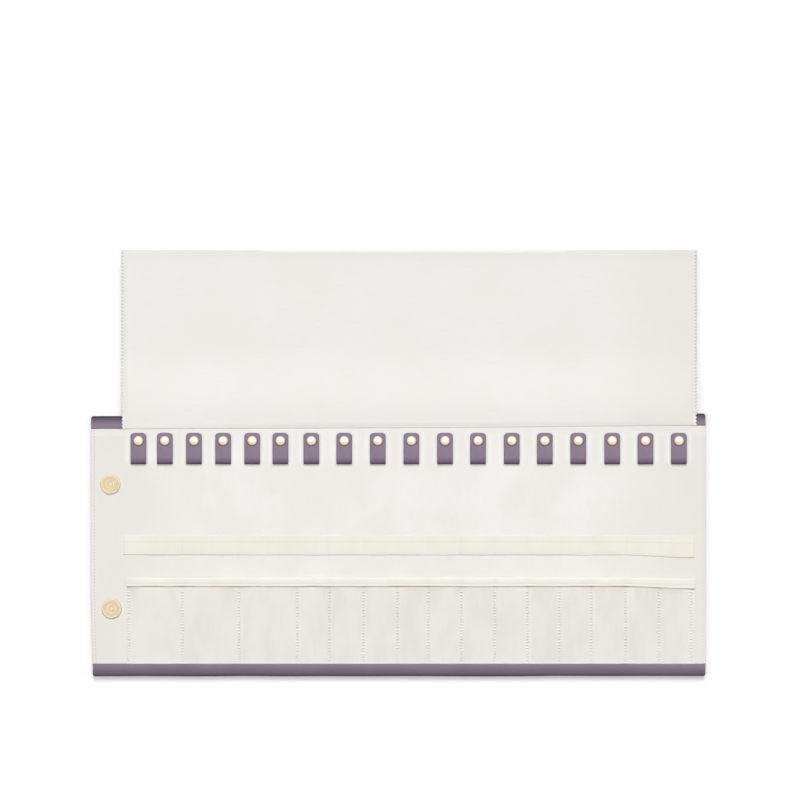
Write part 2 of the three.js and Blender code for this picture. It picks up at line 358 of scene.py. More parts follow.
shell_thickness = 0.8 * mm
shell_step = 6 * mm
hem_inner_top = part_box("flap_1")[0].y
hem_inner_bottom = bottom + 12 * mm
hem_roll = 1.25 * mm
hem_corner = 2.2 * mm
hem_sink, hem_fall, hem_flat = 0.12 * mm, 0.35 * mm, 0.3
hem_puff, puff_size = 0.14 * mm, 38 * mm
hem_steps, back_steps = 9, 28
hem_overlap = 0.5 * mm
low_edge_rise = 0.3 * mm
corner_steps, corner_step = 8, 0.3 * mm
top_trim = 0.9 * mm
top_rise = 2.6 * mm
seam_rise = 0.9 * mm
seam_rise_start, seam_rise_end = 20 * mm, 250 * mm
left_tuck, left_tuck_end, left_tuck_run = 0.3 * mm, 20 * mm, 10 * mm
end_lean, lean_width = 1.6 * mm, 40 * mm
lean_start, lean_run = 70 * mm, 80 * mm


def slant(x):
    """How far up the top hem lies at x: it was turned in a little narrower toward the right."""
    return top_rise * (x - left) / (right - left) - top_trim


def seam_slant(x):
    """How far up the top hem's seam lies at x: a little more than its outer edge at both ends."""
    at_left = left_tuck * (1 - eased((x - left - left_tuck_end) / left_tuck_run))
    at_right = seam_rise * eased((x - seam_rise_start) / (seam_rise_end - seam_rise_start))
    return slant(x) + at_right + at_left


def leaned(piece):
    """Draws the lower left corner in, as the turned hem does."""
    for point in piece.data.vertices:
        near = 1 - eased((point.co.x - left) / lean_width)
        low = eased((hem_inner_bottom + lean_start - point.co.y) / lean_run)
        point.co.x += end_lean * near * low
    return piece


leatherette = Finish("leatherette")
x, y, z, at = leatherette.place()
pebble = leatherette.pebbles(at, scale=1500)
cloud = leatherette.grain(at, scale=22, detail=3)
fine = leatherette.grain(at, scale=420, detail=4)
inside = z.share(1.6 * mm, 2.4 * mm)
from_top = y - x * (top_rise / (right - left)) - top_rise / 2 + top_trim
top_hem = from_top - hem_inner_top
# Painted shade: the hems darken toward their outer edges, where they roll away from the light.
hem_edge_shade = inside * (top_hem.share(4 * mm, 11.5 * mm) * 0.76
                        + (hem_inner_bottom - y).share(-3 * mm, 12 * mm) * 0.72)
# Painted shade: a dark line along the hems' outer edges and their inner rims.
edge_line_shade = ((from_top - top).share(-1.9 * mm, -0.9 * mm)
           + (bottom - y).share(-2.8 * mm, -0.9 * mm)
           + (y - hem_inner_bottom).share(-1 * mm, 0) * 0.3)
# Painted light: the low part of the top hem, which its rounded inner edge shades, is made lighter.
top_hem_light = inside * (1 - top_hem.share(2 * mm, 8 * mm)) * y.share(0, 1 * mm)
colour = leatherette.coats(
    shade(141, 124, 143),
    (cloud.share(0.35, 0.7), shade(147, 130, 149)),
    (fine.share(0.45, 0.75) * 0.2, shade(152, 136, 154)),
    (hem_edge_shade, shade(66, 56, 68)),
    (inside * edge_line_shade * 0.75, shade(48, 38, 47)),
    (top_hem_light * 0.2, shade(172, 155, 174)),
)
shell_finish = leatherette.principled(
    Base_Color=colour,
    Roughness=0.38 + 0.12 * fine,
    Specular_IOR_Level=0.32,
    Normal=leatherette.raised(pebble * 0.5 + fine * 0.5, 0.06 * mm),
)


def hem_path(x, edge, inner, out, seed):
    """One hem, from its inner edge out and round the roll's edge, out being 1 or -1 along Y."""
    low = hem_height - shell_thickness / 2 - hem_sink
    reach = abs(edge - inner) - hem_roll - shell_thickness / 2
    points = []
    for k in range(hem_steps + 1):
        share = k / hem_steps
        fall = eased((share - hem_flat) / (1 - hem_flat)) * hem_fall
        puff = wander(x, 0, puff_size, seed, hem_puff) * math.sin(math.pi * share)
        points.append((inner + out * share * reach, low - fall + puff))
    y, high = points[-1]
    tall = (high - shell_thickness / 2) / 2
    for k in range(1, hem_steps):
        angle = math.pi * k / hem_steps
        points.append((y + out * math.sin(angle) * hem_roll,
                       shell_thickness / 2 + tall + tall * math.cos(angle)))
    return points


def shell_path(x):
    """The middle of the leatherette, from the bottom hem's inner edge round to the top's."""
    low_inner = hem_inner_bottom + wander(x, 0, size=60 * mm, seed=3, reach=0.25 * mm)
    low_edge = bottom + low_edge_rise + wander(x, 7, size=55 * mm, seed=4, reach=0.45 * mm)
    high_edge = top + slant(x) + wander(x, 8, size=70 * mm, seed=4, reach=0.3 * mm)
    high_inner = hem_inner_top + seam_slant(x) + hem_overlap
    short = max(0, hem_corner - min(x - left, right - x))
    drawn_in = hem_corner - math.sqrt(hem_corner**2 - short**2)
    low_edge, high_edge = low_edge + drawn_in, high_edge - drawn_in
    start, end = low_edge + hem_roll, high_edge - hem_roll
    path = hem_path(x, low_edge, low_inner, -1, 1)
    path += [(start + (end - start) * k / back_steps, shell_thickness / 2)
             for k in range(back_steps + 1)]
    return path + hem_path(x, high_edge, high_inner, 1, 2)[::-1]


def joined(piece, bodies, fold):
    """Bakes where the piece lies into its mesh; the bodies and the fold are not used."""
    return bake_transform(piece, *bodies, start=(fold - fold_turn, 0, 0), end=(fold + fold_turn, 0, 0))


corners = [end_x + way * k * corner_step for end_x, way in ((left, 1), (right, -1))
           for k in range(corner_steps)]
for side, start, end, bodies, fold in lengths:
    shell = swept(f"shell_{side}", stations(start, end, shell_step, corners),
                  lambda x: ribbon(shell_path(x), shell_thickness), shell_finish)
    joined(leaned(shell), bodies, fold)
    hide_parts(*[f"outer_shell_{k}" for k in panels_of[side]])
    end - start


# The lining: cream suede cloth over a thin sheet of foam, sewn to the shell at both ends with a
# row of small stitches, and caught under the hems along its sides.
lining_low, lining_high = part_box("padded_lining_1")[0].z, 2.4 * mm
lining_inset, lining_under_hem = 5 * mm, 6 * mm
lining_step, lining_rows = 5 * mm, 64
lining_swells = ((0.10 * mm, 34 * mm, 5), (0.05 * mm, 11 * mm, 6))
end_pinch, pinch_width = 0.35 * mm, 5 * mm
hem_climb, bare_climb, bare_run = 0.3 * mm, 0.45 * mm, 6 * mm
climb_start, climb_run = 8 * mm, 8.4 * mm
flap_left, flap_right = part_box("flap_1")[0].x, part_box("flap_4")[1].x
band_low, band_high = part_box("wide_elastic_1")[0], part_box("wide_elastic_4")[1]
band_drop = 2.6 * mm
sag_start, sag_end = 210 * mm, 285 * mm
suede = Finish("suede")
x, y, z, at = suede.place()
cloud = suede.grain(at, scale=16, detail=3)
nap = suede.grain(at, scale=260, detail=4, stretch=(1, 0.5, 1))
fibre = suede.grain(at, scale=2600, detail=2)
lower_left = (1 - (x - left).share(0, 120 * mm)) * (1 - (y - bottom).share(0, 150 * mm))
toward_ends = x.size().share(170 * mm, 280 * mm)
from_end = (x - left).size() * (x - right).size() / (right - left)
# Painted shade in a thin strip along both cut ends of the lining.
end_edge_shade = 1 - from_end.share(0, 0.8 * mm)
# Painted light on the lining just below the top hem.
light_below_hem = (y - hem_inner_top).share(-10 * mm, -5 * mm)
along_band = (x - band_low.x).share(0, 3 * mm) * (band_high.x - x).share(0, 3 * mm)
# A painted shadow on the lining along the lower edge of the wide elastic.
shadow_line = band_low.y + 0.6 * mm - x.share(sag_start, sag_end) * band_drop
band_shadow = (1 - (y - shadow_line).size().share(0.1 * mm, 0.6 * mm)) * along_band
# Painted light on the lining beside the straps, where their shadows fall.
strap_side_light = (1 - z.share(0.6 * mm, 7 * mm)) * y.share(-4 * mm, 4 * mm)
strap_side_light *= 1 - y.share(25 * mm, 34 * mm)
colour = suede.coats(
    shade(239, 236, 231),
    (cloud.share(0.35, 0.7), shade(243, 241, 237)),
    (nap.share(0.5, 0.8) * 0.2, shade(231, 227, 221)),
    (lower_left * 0.4, shade(229, 225, 221)),
    (toward_ends * 0.6, shade(231, 227, 221)),
    (end_edge_shade * 0.6, shade(200, 199, 197)),
    (light_below_hem * 0.35, shade(250, 248, 243)),
    (band_shadow * 0.6, shade(214, 190, 158)),
    (strap_side_light * 0.65, shade(255, 254, 250)),
)
lining_finish = suede.principled(
    Base_Color=colour,
    Roughness=0.9,
    Sheen_Weight=0.25,
    Sheen_Roughness=0.5,
    Normal=suede.raised(nap * 0.6 + fibre * 0.4, 0.12 * mm),
)


def lining_top(x, y):
    """How high the lining's face lies: it swells a little between its seams."""
    swell = sum(rise * soft(x, y, size, seed) for rise, size, seed in lining_swells)
    pinch = end_pinch * (1 - eased(min(x - left, right - x) / pinch_width))
    beside_flap = min(x - flap_left, flap_right - x)
    climb = hem_climb + bare_climb * eased(beside_flap / bare_run)
    climb *= eased((y - hem_inner_top - seam_slant(x) + climb_start) / climb_run)
    return lining_high + swell - pinch + climb


def from_strap(x):
    """How far x lies from the nearest strap, in metres: 0 under a strap."""
    return max(0, min(max(low.x - x, x - high.x) for low, high in strap_boxes))


def lining_section(x):
    low, high = bottom + lining_inset, hem_inner_top + lining_under_hem
    ys = [low + (high - low) * k / lining_rows for k in range(lining_rows + 1)]
    upper = [(y, lining_top(x, y)) for y in ys]
    lower = [(y, lining_low) for y in ys]
    middle = (lining_low + lining_high) / 2
    return lower + [(high, middle)] + upper[::-1] + [(low, middle)]


strap_sides = [edge.x for box in strap_boxes for edge in box] + dividers
for side, start, end, bodies, fold in lengths:
    lining = swept(f"lining_{side}", stations(start, end, lining_step, strap_sides),
                   lining_section, lining_finish)
    # The third place kept is the distance from the nearest strap, which places the painted light
    # beside the straps.
    laid_at(lining, [(p.co.x, p.co.y, from_strap(p.co.x)) for p in lining.data.vertices])
    joined(leaned(lining), bodies, fold)
    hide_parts(*[f"padded_lining_{k}" for k in panels_of[side]])


# The seams: small raised stitches of spun thread. Cream rows hold the lining to the shell at both
# ends, and mauve rows show on the outside of the shell, along its ends and over its two hems.
stitch_sides = 6
stitch_rings = ((0, 0.45), (0.18, 1), (0.82, 1), (1, 0.45))
outer_pitch, outer_reach, outer_thread = 2.6 * mm, 0.85 * mm, 0.16 * mm
outer_level = -0.02 * mm
hem_row_inset = 11 * mm
end_pitch, end_reach, end_lift = 3.17 * mm, 0.5 * mm, 0.04 * mm
end_rows = {"left": [left + 3.2 * mm], "middle": [], "right": [right - 2.3 * mm]}
end_threads = {"left": 0.4 * mm, "right": 0.22 * mm}


def sewn(name, stitches, thread, finish):
    """One mesh of rounded stitches, each from one point to another."""
    points, faces = [], []
    for start, end in stitches:
        start, end = Vector(start), Vector(end)
        along = (end - start).normalized()
        side = along.cross(Vector((0, 0, 1))).normalized()
        up = side.cross(along)
        base = len(points)
        for share, girth in stitch_rings:
            middle = start + (end - start) * share
            for k in range(stitch_sides):
                angle = math.tau * k / stitch_sides
                off = side * math.cos(angle) + up * math.sin(angle)
                points.append(tuple(middle + off * thread * girth))
        last = len(stitch_rings) - 1
        for ring in range(last):
            for k in range(stitch_sides):
                here = base + ring * stitch_sides + k
                beside = base + ring * stitch_sides + (k + 1) % stitch_sides
                faces.append((here, beside, beside + stitch_sides, here + stitch_sides))
        ends = range(base, base + stitch_sides)
        faces.append(tuple(ends)[::-1])
        faces.append(tuple(k + last * stitch_sides for k in ends))
    return mesh_piece(name, points, faces, finish, sharp=80)


def thread_finish(name, pale, dark):
    """Spun thread: a faint slanting twist and a soft sheen."""
    thread = Finish(name)
    x, y, z, at = thread.place()
    turns = 9000
    twist = ((x + y) * turns).wave() * 0.5 + 0.5
    spun = thread.grain(at, scale=300, detail=3)
    colour = thread.coats(pale, (twist * 0.5 + spun * 0.3, dark))
    return thread.principled(Base_Color=colour, Roughness=0.7, Sheen_Weight=0.2,
                             Normal=thread.raised(twist, 0.05 * mm))


cream_thread = thread_finish("cream_thread", shade(218, 206, 192), shade(198, 184, 166))
mauve_thread = thread_finish("mauve_thread", shade(104, 90, 108), shade(82, 70, 86))
for side, start, end, bodies, fold in lengths:
    outer = []
    for y in (bottom + hem_row_inset, top - hem_row_inset):
        count = round((end - start) / outer_pitch)
        for k in range(count):
            x = start + (k + 0.5) * (end - start) / count
            outer.append(((x - outer_reach, y, outer_level), (x + outer_reach, y, outer_level)))
    inner = []
    for x in end_rows[side]:
        count = round((hem_inner_top - hem_inner_bottom) / end_pitch)
        for k in range(count):
            y = hem_inner_bottom + (k + 0.5) * (hem_inner_top - hem_inner_bottom) / count
            high = lining_top(x, y) + end_lift
            inner.append(((x, y - end_reach, high), (x, y + end_reach, high)))
            outer.append(((x, y - outer_reach, outer_level), (x, y + outer_reach, outer_level)))
    row = sewn(f"outer_stitches_{side}", outer, outer_thread, mauve_thread)
    joined(row, bodies, fold)
    if inner:
        row = sewn(f"end_stitches_{side}", inner, end_threads[side], cream_thread)
        joined(leaned(row), bodies, fold)


# The wide elastic band: cream woven rubber elastic across the lining. It is tacked down between
# the straps, so that it makes a row of loops and swells a little from tack to tack.
band_thickness = 0.45 * mm
band_swell = 0.3 * mm
band_level = lining_high + 0.03 * mm
band_foot = band_low.y + 0.65 * mm
band_top = band_high.y
band_top_drop = 0.6 * mm
band_pinch = 0.2 * mm
band_lip, lip_share, slack_lip = 0.06 * mm, 0.09, 0.3
band_step, band_rows = 2.2 * mm, 18
pick_pitch = 0.55 * mm
swell_round, arch_round = 0.55, 0.6
tack_foot, tack_top = band_foot + 0.8 * mm, band_top - 0.6 * mm
tack_thread, tack_lift = 0.17 * mm, 0.06 * mm
tack_pitch, tack_lean, tack_reach = 2.0 * mm, 0.25 * mm, 0.3
tacks = [-206.9, -180.0, -154.6, -126.4, -99.0, -67.8, -34.3, -2.6, 27.4, 58.5, 91.2, 123.8, 154.9,
         185.5, 217.2, 249.6]
tacks = [band_low.x + 1.8 * mm] + [x * mm for x in tacks] + [band_high.x - 1.5 * mm]


def sag(x):
    """The share, from 0 to 1, of the drop of both elastics toward their right end."""
    return eased((x - sag_start) / (sag_end - sag_start))


def swell_between(x, places):
    """0 at a seam and beyond the last one, and up to 1 half way between two of them."""
    for before, after in zip(places, places[1:]):
        if before < x < after:
            return math.sin(math.pi * (x - before) / (after - before)) ** swell_round
    return 0


def arch(share, edge, foot, loss):
    """How high an elastic stands across its width: edge at its edges, less toward its top."""
    crown = math.sin(math.pi * share) ** arch_round if 0 < share < 1 else 0
    return (edge + (1 - edge) * crown) * (foot - loss * share)


def woven_band(name, low, high, rib_pitch, lines, lip, roll, pale, lit, dark, rim, under):
    """Woven elastic: ribs along its length, fine picks across, a rolled lower lip with a painted
    highlight on it and painted shade under it, and a top edge painted darker.
    """
    band = Finish(name)
    x, y, z, at = band.place()
    ribs = y.ribs(rib_pitch)
    picks = x.ribs(pick_pitch)
    cloud = band.grain(at, scale=45, detail=3, stretch=(1, 0.4, 1))
    speck = band.grain(at, scale=900, detail=2)
    up = y - low
    at_lines = [((1 - (y - line).size().share(0.15 * mm, 0.75 * mm)) * 0.6, dark)
                for line in lines]
    # Painted highlight on the rolled lower lip, brightest in a narrow band along it.
    lit_lip = 1 - up.share(lip * 0.7, lip * 1.2)
    lip_highlight = up.share(roll, roll + 0.3 * mm) * (1 - up.share(lip * 0.55, lip * 0.9))
    # Painted shade under the rolled lip.
    shade_under_lip = 1 - up.share(roll - 0.5 * mm, roll)
    at_ends = [((1 - (x - end).size().share(0.3 * mm, 0.9 * mm)) * 0.6, rim)
               for end in (band_low.x + 1.2 * mm, band_high.x - 1 * mm)]
    colour = band.coats(
        pale,
        (cloud.share(0.3, 0.75) * 0.3 + speck * 0.2, dark),
        (ribs * 0.14, dark),
        *at_lines,
        (lit_lip * 0.85, lit),
        # The top edge in the rim colour: partly a tan edge line, partly painted shade.
        ((y - high).share(-1.1 * mm, -0.3 * mm), rim),
        (lip_highlight * 0.7, shade(255, 253, 247)),
        (shade_under_lip * 0.6, under),
        *at_ends,
    )
    relief = ribs * 0.6 + picks * 0.25 + speck * 0.15
    return band.principled(Base_Color=colour, Roughness=0.82, Sheen_Weight=0.15,
                           Normal=band.raised(relief, 0.09 * mm))


band_finish = woven_band(
    "wide_elastic", low=band_foot, high=band_top, rib_pitch=0.95 * mm,
    lines=[band_top - 6 * mm, band_foot + 1.55 * mm], lip=1 * mm, roll=0.15 * mm,
    # lit is the painted highlight of the lip, rim darkens the top edge partly with painted shade, and
    # under is the painted shade beneath the lip.
    pale=shade(245, 241, 231), lit=shade(255, 254, 250), dark=shade(231, 225, 211),
    rim=shade(229, 224, 211), under=shade(196, 168, 136))


def band_edges(x):
    pinch = (1 - swell_between(x, tacks)) * band_pinch
    low = band_foot + pinch + wander(x, 1, size=30 * mm, seed=8, reach=0.3 * mm)
    high = band_top + wander(x, 2, size=45 * mm, seed=9, reach=0.25 * mm)
    return low - band_drop * sag(x), high - band_top_drop * sag(x)


def laid_straight(piece, edges, low_line, high_line):
    """Keeps for each point how far across the elastic it lies, so that its lines follow its edges."""
    laid = []
    for point in piece.data.vertices:
        low, high = edges(point.co.x)
        share = (point.co.y - low) / (high - low)
        laid.append((point.co.x, low_line + (high_line - low_line) * share, point.co.z))
    return laid_at(piece, laid)


def band_section(x):
    swell = swell_between(x, tacks)
    base = band_level + band_thickness / 2
    low, high = band_edges(x)
    path = []
    for k in range(band_rows + 1):
        share = k / band_rows
        lift = swell * band_swell * arch(share, edge=0.25, foot=1.1, loss=0.35)
        lip = band_lip * (1 - eased(share / lip_share)) * (slack_lip + (1 - slack_lip) * swell)
        path.append((low + (high - low) * share, base + lift + lip))
    return ribbon(path, band_thickness)


def tack_stitches(places, low, high, height):
    """Short rows of stitches across the band, one at each place along X."""
    made = []
    reach = tack_pitch * tack_reach
    for x in places:
        count = max(2, round((high - low) / tack_pitch))
        for k in range(count):
            y = low + (k + 0.5) * (high - low) / count
            made.append(((x - tack_lean, y - reach, height), (x + tack_lean, y + reach, height)))
    return made


band_thread = thread_finish("band_thread", shade(238, 233, 220), shade(220, 212, 194))
for side, start, end, bodies, fold in lengths:
    start, end = max(start, band_low.x), min(end, band_high.x)
    band = swept(f"wide_band_{side}", stations(start, end, band_step, tacks), band_section,
                 band_finish, sharp=60)
    joined(laid_straight(band, band_edges, band_foot, band_top), bodies, fold)
    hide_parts(*[f"wide_elastic_{k}" for k in panels_of[side]])
    end - start
    here = [x for x in tacks if start <= x < end]
    made = tack_stitches(here, tack_foot, tack_top, band_level + band_thickness + tack_lift)
    row = sewn(f"band_tacks_{side}", made, tack_thread, band_thread)
    joined(row, bodies, fold)


# The pockets: one strip of thin gauzy cloth, sewn down along its lower edge and by columns of
# zigzag stitches into narrow pockets, with a tape of the same elastic bound over its mouth.
pocket_low, pocket_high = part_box("pocket_1")[0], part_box("pocket_4")[1]
pocket_thickness = 0.35 * mm
pocket_step, pocket_rows = 1.6 * mm, 60
pocket_full, pocket_hold, full_reach = 0.8 * mm, 0.25 * mm, 0.55
rumple_low, rumple_more, mouth_run = 0.06 * mm, 0.3 * mm, 26 * mm
rumple_broad, rumple_least = 0.3 * mm, 0.35
pocket_lift = 0.1 * mm
under_tape_reach, mouth_fade, mouth_least = 3 * mm, 5 * mm, 0.35
tape_width = 8.4 * mm
tape_thickness = 0.8 * mm
tape_rows = 12
tape_lift = 0.15 * mm
tape_pinch, tape_swell_low, tape_swell_more = 0.3 * mm, 0.2 * mm, 0.5 * mm
tape_drop, tape_top_drop = 2.2 * mm, 0.9 * mm
tape_top = pocket_high.y
tape_low = tape_top - tape_width
tape_foot = tape_low + 0.6 * mm
columns = [-258.3, -207.0, -152.8, -97.2, -66.4, -33.8, -1.4, 28.5, 59.8, 91.9, 123.0, 153.5,
           184.0, 216.8, 248.9, 279.6]
columns = [x * mm for x in columns]
column_width = 2.9 * mm
column_pitch = 2.8 * mm
column_low, column_high = pocket_low.y + 4 * mm, tape_low - 3 * mm
column_slope = 0.25 * mm
column_thread, column_lift = 0.42 * mm, 0.08 * mm
gauze = Finish("gauze")
x, y, z, at = gauze.place()
slub = gauze.grain(at, scale=420, detail=3, stretch=(1, 0.12, 1))
cloud = gauze.grain(at, scale=38, detail=3, stretch=(1, 0.6, 1))
threads = x.ribs(0.8 * mm)
picks = y.ribs(0.7 * mm)
in_column = 1 - z.share(column_width * 0.4, column_width * 0.62)
# Painted shade on the cloth between the bars of each stitched column.
between = ((y - column_low) * (math.tau / column_pitch) - math.pi / 2).wave() * 0.5 + 0.5
mouth_line = tape_foot - x.share(sag_start, sag_end) * tape_drop
# A painted shadow on the pocket cloth along the lower edge of the tape.
tape_shadow = 1 - (y - mouth_line).size().share(0.3 * mm, 1.3 * mm)
# Painted shade in soft patches on the pocket cloth just below the tape.
near_mouth = (y - mouth_line).share(-7 * mm, 0) * cloud.share(0.3, 0.7)
# Painted light in a thin line along the pocket's sewn lower edge.
hem_line_light = 1 - (y - pocket_low.y).share(1 * mm, 2.4 * mm)
colour = gauze.coats(
    shade(237, 233, 228),
    (cloud.share(0.35, 0.7), shade(231, 227, 222)),
    (slub.share(0.45, 0.75) * 0.2, shade(244, 242, 238)),
    (threads * 0.06, shade(218, 213, 206)),
    (in_column * between * 0.18, shade(200, 197, 192)),
    (tape_shadow * 0.8, shade(190, 154, 112)),
    (near_mouth * 0.4, shade(214, 203, 188)),
    (hem_line_light * 0.6, shade(255, 251, 245)),
)
gauze_finish = gauze.principled(
    Base_Color=colour, Roughness=0.92, Sheen_Weight=0.2,
    Normal=gauze.raised(slub * 0.4 + threads * 0.3 + picks * 0.3, 0.1 * mm))


def pocket_top(x, y):
    """The middle of the pocket cloth: full between its stitches and rumpled under its mouth."""
    share = (y - pocket_low.y) / (tape_low - pocket_low.y)
    hold = swell_between(x, columns)
    full = hold * math.sin(math.pi * min(max(share, 0), 1) * full_reach)
    near_mouth = eased((y - tape_low + mouth_run) / mouth_run)
    reach = rumple_low + rumple_more * near_mouth
    rumple = wander(x, y * 0.35, size=6.5 * mm, seed=11, reach=reach)
    rumple += wander(x, y * 0.6, size=17 * mm, seed=12, reach=rumple_broad)
    rumple *= rumple_least + (1 - rumple_least) * hold
    base = pocket_low.z + pocket_thickness / 2 + pocket_lift
    return base + full * pocket_full + rumple + pocket_hold * hold


def pocket_section(x):
    low, high = pocket_low.y, tape_low + under_tape_reach
    flat = pocket_low.z + pocket_thickness / 2
    path = []
    for k in range(pocket_rows + 1):
        y = low + (high - low) * k / pocket_rows
        fade = eased((high - y) / mouth_fade)
        fade = mouth_least + (1 - mouth_least) * fade
        path.append((y, flat + (pocket_top(x, y) - flat) * fade))
    return ribbon(path, pocket_thickness)


tape_finish = woven_band(
    "pocket_tape", low=tape_foot, high=tape_top, rib_pitch=0.8 * mm,
    lines=[tape_foot + 2.6 * mm, tape_foot + 3.6 * mm], lip=2 * mm, roll=1 * mm,
    # lit is the painted highlight of the lip, rim darkens the top edge partly with painted shade, and
    # under is the painted shade beneath the lip.
    pale=shade(243, 241, 234), lit=shade(255, 255, 253), dark=shade(232, 226, 212),
    rim=shade(236, 233, 225), under=shade(226, 212, 192))


def tape_edges(x):
    pinch = (1 - swell_between(x, columns)) * tape_pinch
    low = tape_foot + pinch + wander(x, 3, size=22 * mm, seed=13, reach=0.5 * mm)
    high = tape_top + wander(x, 4, size=30 * mm, seed=14, reach=0.4 * mm)
    return low - tape_drop * sag(x), high - tape_top_drop * sag(x)


def tape_section(x):
    swell = tape_swell_low + tape_swell_more * swell_between(x, columns)
    base = pocket_low.z + pocket_thickness + tape_thickness / 2 + tape_lift
    low, high = tape_edges(x)
    path = []
    for k in range(tape_rows + 1):
        share = k / tape_rows
        lift = swell * arch(share, edge=0.3, foot=1.15, loss=0.4)
        path.append((low + (high - low) * share, base + lift))
    return ribbon(path, tape_thickness)


def column_stitches(places):
    """The zigzag bars of each column, which lie across it on the pocket cloth."""
    made = []
    count = round((column_high - column_low) / column_pitch)
    for x in places:
        for k in range(count):
            y = column_low + k * column_pitch
            made.append(tuple(
                (e, y + rise, pocket_top(e, y) + pocket_thickness / 2 + column_lift)
                for e, rise in ((x - column_width / 2, 0), (x + column_width / 2, column_slope))))
    return made


pocket_thread = thread_finish("pocket_thread", shade(249, 247, 243), shade(240, 238, 233))
for side, start, end, bodies, fold in lengths:
    start, end = max(start, pocket_low.x), min(end, pocket_high.x)
    spots = stations(start, end, pocket_step, columns)
    pocket = swept(f"pocket_cloth_{side}", spots, pocket_section, gauze_finish, sharp=60)
    laid_at(pocket, [(p.co.x, p.co.y, min(abs(p.co.x - c) for c in columns))
                     for p in pocket.data.vertices])
    joined(pocket, bodies, fold)
    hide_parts(*[f"pocket_{k}" for k in panels_of[side]])
    tape = swept(f"pocket_tape_{side}", spots, tape_section, tape_finish, sharp=60)
    joined(laid_straight(tape, tape_edges, tape_foot, tape_top), bodies, fold)
    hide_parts(*[f"pocket_{k}" for k in panels_of[side]])
    end - start
    made = column_stitches(c for c in columns if start <= c < end)
    row = sewn(f"pocket_stitches_{side}", made, column_thread, pocket_thread)
    joined(row, bodies, fold)


# The flap: a plain sheet of white cotton sewn in under the top hem. It turns up over the hem and
# lies on the table, or turns down over the straps. Its two ends are pinked and overlocked.
flap_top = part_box("flap_1")[1].y + 0.8 * mm
flap_level = (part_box("flap_1")[0].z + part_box("flap_1")[1].z) / 2
flap_thickness = 0.45 * mm
flap_step, flap_keep = 5 * mm, 0.06
flap_rest, flap_curl, curl_width = 0.5 * mm, 1.1 * mm, 30 * mm
far_rise, far_run = 0.5 * mm, 12 * mm
slope_start, slope_run = 2 * mm, 62 * mm
ripple_rise, ripple_run = 0.26 * mm, 16 * mm
swell_rise = 0.30 * mm
root_run = 6 * mm
root_dip, dip_run = 0.17 * mm, 9 * mm
root_start, root_lift, root_steps, seam_follow = 0.2 * mm, 0.8 * mm, 12, 0.95
hinge_y = hem_inner_top
hinge_end = hinge_y + 4.6 * mm
pink_depth, pink_round, pink_shallow, pink_steps = 1.6 * mm, 1.3, 0.4, 6
pink_fade, pink_start, pink_start_run = 9 * mm, 1.5 * mm, 1 * mm
pink_over_hem = 0.5 * mm
pink_count = round((flap_top - hinge_end) / (3.26 * mm))
pink_pitch = (flap_top - hinge_end) / pink_count
pink_first = {flap_left: 0.95 * mm, flap_right: 2.45 * mm}
pink_inset = {flap_left: 0.1 * mm, flap_right: 0.6 * mm}
overlock_outer, overlock_inner = 2.2 * mm, 6.0 * mm
overlock_thread = 0.2 * mm
weave_pitch = 0.45 * mm
cotton = Finish("cotton")
x, y, z, at = cotton.place()
cloud = cotton.grain(at, scale=14, detail=3)
weave = (x.swing(weave_pitch) * y.swing(weave_pitch)) * 0.5 + 0.5
slub = cotton.grain(at, scale=300, detail=3, stretch=(0.2, 1, 1))
# Painted light on the flap's root, on its left part.
root_light = 1 - (y - hinge_y).share(2 * mm, 5 * mm)
rightward = x.share(-250 * mm, -60 * mm)
seam_line = (x.share(left, right) * top_rise
             + x.share(seam_rise_start, seam_rise_end) * seam_rise - top_trim)
from_seam = y - hinge_y - seam_line
# From the middle rightward, painted shade in a band above the flap's seam and painted light along the
# seam line itself.
seam_shade = 1 - from_seam.share(0.5 * mm, 6 * mm)
seam_light = 1 - from_seam.share(0.8 * mm, 2.4 * mm)
toward_right = x.share(170 * mm, 285 * mm)
from_end = (flap_right - flap_left) / 2 - (x - (flap_left + flap_right) / 2).size()
up = y - top
over_hem = (1 - from_end.share(1.2 * mm, 4 * mm)) * (1 - up.share(-2 * mm, 3 * mm))
# Painted shade at the pinked ends, in dots that follow the notches.
end_edge_shade = (1 - from_end.share(1.2 * mm, 2.6 * mm)) * up.share(-1 * mm, 3 * mm)
first_notch = x.share(-1 * mm, 1 * mm) * 1.03 * mm + hinge_end + 3.18 * mm
notch = ((y - first_notch) * (math.tau / pink_pitch) + math.pi / 2).wave() * 0.5 + 0.5
lattice = y.swing(pink_pitch) * from_end.swing(2.7 * mm)
sewn_end = (1 - from_end.share(5.5 * mm, 7 * mm)) * (1.15 - up.share(0, 60 * mm) * 0.9) * 0.7
colour = cotton.coats(
    shade(240, 239, 235),
    (cloud.share(0.35, 0.7), shade(238, 237, 232)),
    (slub.share(0.5, 0.8) * 0.3, shade(232, 230, 224)),
    (root_light * (1 - rightward) * 0.3, shade(252, 249, 240)),
    (seam_shade * rightward * 0.36, shade(212, 206, 192)),
    (seam_light * rightward * 0.7, shade(255, 252, 244)),
    (toward_right * 0.4, shade(230, 224, 215)),
    (over_hem, shade(254, 253, 251)),
    (end_edge_shade * notch * 0.75, shade(184, 183, 178)),
    (lattice.share(0.1, 0.6) * sewn_end, shade(214, 213, 208)),
    ((lattice * -1).share(0.1, 0.6) * sewn_end, shade(252, 251, 248)),
)
cotton_finish = cotton.principled(
    Base_Color=colour, Roughness=0.9, Sheen_Weight=0.15,
    Normal=cotton.raised(weave * 0.6 + slub * 0.4, 0.07 * mm))


